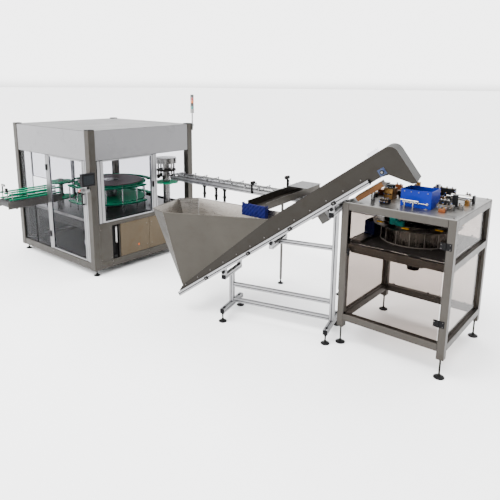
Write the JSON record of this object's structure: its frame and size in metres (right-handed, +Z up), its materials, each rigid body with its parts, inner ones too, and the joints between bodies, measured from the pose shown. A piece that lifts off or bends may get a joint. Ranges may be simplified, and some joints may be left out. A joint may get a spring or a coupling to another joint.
{
  "type": "capping machine",
  "caption": "Guarded rotary capping cell with infeed conveyor, overhead-fed cap conveyor, hopper cap elevator on its own stand, return chute and cap sorter.",
  "frame": {"origin": "on the floor under the middle of the whole line", "axes": "+X from the capping cell towards the sorter, +Y away from the operator side, +Z up"},
  "size_m": [6.505, 2.517, 2.459],
  "materials": {
    "satin_steel": "satin",
    "grey_sheet": "satin",
    "aluminium_profile": "anodised",
    "clear_guard": "clear",
    "brushed_sheet": "brushed",
    "black_feet": "matt",
    "green_plastic": "gloss",
    "chrome_rod": "polished",
    "dark_chain": "matt",
    "black_plastic": "satin",
    "tan_paint": "satin",
    "white_plastic": "satin",
    "red_plastic": "gloss",
    "dark_steel": "satin",
    "white_belt": "matt",
    "blue_plastic": "gloss"
  },
  "bodies": {
    "frame": {"cell_frame": "satin_steel", "cell_fascias": "grey_sheet", "cell_roof": "grey_sheet", "cell_mullions": "aluminium_profile", "cell_panes": "clear_guard", "cell_cabinet": "brushed_sheet", "cell_table": "satin_steel", "cell_feet": "black_feet", "guide_rings": "green_plastic", "guide_standoffs": "chrome_rod", "infeed_frame": "brushed_sheet", "infeed_belt": "dark_chain", "infeed_guides": "green_plastic", "infeed_sensor": "grey_sheet", "main_gearmotor": "tan_paint", "air_unit": "white_plastic", "hmi_arm": "grey_sheet", "signal_tower": "aluminium_profile", "cap_frame": "aluminium_profile", "cap_belt": "dark_chain", "cap_guides": "chrome_rod", "cap_hangers": "black_plastic", "cap_sensor": "black_plastic", "cap_leg": "dark_steel", "elevator_rails": "aluminium_profile", "elevator_panels": "brushed_sheet", "elevator_bed": "brushed_sheet", "elevator_belt": "white_belt", "elevator_bearings": "blue_plastic", "elevator_hood": "brushed_sheet", "hopper": "brushed_sheet", "elevator_gearmotor": "dark_steel", "stand_frame": "aluminium_profile", "stand_feet": "aluminium_profile", "return_chute": "brushed_sheet", "return_skirt": "blue_plastic", "sorter_frame": "satin_steel", "sorter_feet": "black_feet", "sorter_shelf": "brushed_sheet", "sorter_top": "brushed_sheet", "sorter_chute": "blue_plastic", "sorter_panes": "clear_guard", "bowl_shell": "brushed_sheet", "bowl_cage": "chrome_rod", "air_valves": "dark_steel"},
    "turret": {"turret": "green_plastic"},
    "infeed_star": {"infeed_star": "green_plastic"},
    "capping_turret": {"capping_turret": "chrome_rod"},
    "infeed_drum": {"infeed_drum": "black_plastic"},
    "front_door": {"front_door": "aluminium_profile"},
    "side_door": {"side_door": "aluminium_profile"},
    "cabinet_door_left": {"cabinet_door_left": "brushed_sheet"},
    "cabinet_door_right": {"cabinet_door_right": "brushed_sheet"},
    "hmi_box": {"hmi_box": "black_plastic"},
    "e_stop": {"e_stop": "red_plastic"},
    "cap_drum": {"cap_drum": "black_plastic"},
    "head_drum": {"head_drum": "chrome_rod"},
    "tail_drum": {"tail_drum": "chrome_rod"},
    "bowl_disc": {"bowl_disc": "brushed_sheet"},
    "sorter_door": {"sorter_door": "clear_guard"}
  },
  "joints": [
    {"name": "front_door_hinge", "type": "hinge", "parent": "frame", "child": "front_door", "pos_m": [-2.326, -0.6485, 0.9], "axis": [0, 0, 1], "range_deg": [-88, 0]},
    {"name": "side_door_hinge", "type": "hinge", "parent": "frame", "child": "side_door", "pos_m": [-1.235, -0.5405, 1.1], "axis": [0, 0, 1], "range_deg": [-95, 0]},
    {"name": "cabinet_left_hinge", "type": "hinge", "parent": "frame", "child": "cabinet_door_left", "pos_m": [-1.235, -0.2065, 0.43], "axis": [0, 0, 1], "range_deg": [-100, 0]},
    {"name": "cabinet_right_hinge", "type": "hinge", "parent": "frame", "child": "cabinet_door_right", "pos_m": [-1.235, 1.1315, 0.43], "axis": [0, 0, 1], "range_deg": [0, 100]},
    {"name": "screen_swivel", "type": "hinge", "parent": "frame", "child": "hmi_box", "pos_m": [-1.1995, -0.72, 1.299], "axis": [0, 0, 1], "range_deg": [-70, 0]},
    {"name": "stop_press", "type": "slide", "parent": "frame", "child": "e_stop", "axis": [0, 1, 0], "range_m": [0, 0.006], "stiffness_N_per_m": 800},
    {"name": "turret_spin", "type": "hinge", "parent": "frame", "child": "turret", "pos_m": [-2.235, 0.3725, 1], "axis": [0, 0, 1], "continuous": true},
    {"name": "infeed_star_spin", "type": "hinge", "parent": "frame", "child": "infeed_star", "pos_m": [-2.795, -0.1725, 1], "axis": [0, 0, 1], "continuous": true},
    {"name": "capping_spin", "type": "hinge", "parent": "frame", "child": "capping_turret", "pos_m": [-1.545, 0.9475, 1], "axis": [0, 0, 1], "continuous": true},
    {"name": "infeed_drum_spin", "type": "hinge", "parent": "frame", "child": "infeed_drum", "pos_m": [-2.545, -1.1765, 0.935], "axis": [1, 0, 0], "continuous": true},
    {"name": "cap_drum_spin", "type": "hinge", "parent": "frame", "child": "cap_drum", "pos_m": [-1.295, 0.9825, 1.188], "axis": [0, 1, 0], "continuous": true},
    {"name": "head_drum_spin", "type": "hinge", "parent": "frame", "child": "head_drum", "pos_m": [2.46605, 0.18279, 1.8217], "axis": [-0.2656, 0.9641, 0], "continuous": true},
    {"name": "tail_drum_spin", "type": "hinge", "parent": "frame", "child": "tail_drum", "pos_m": [0.3691, -0.39481, 0.26452], "axis": [-0.2656, 0.9641, 0], "continuous": true},
    {"name": "bowl_spin", "type": "hinge", "parent": "frame", "child": "bowl_disc", "pos_m": [2.702, 0.4875, 1.19], "axis": [0, 0, 1], "continuous": true},
    {"name": "sorter_door_hinge", "type": "hinge", "parent": "frame", "child": "sorter_door", "pos_m": [3.173, -0.0765, 0.9], "axis": [0, 0, 1], "range_deg": [0, 110]}
  ],
  "couplings": [
    {"joint": "infeed_star_spin", "follows": "turret_spin", "ratio": -3},
    {"joint": "capping_spin", "follows": "turret_spin", "ratio": -4},
    {"joint": "tail_drum_spin", "follows": "head_drum_spin", "ratio": 1}
  ]
}
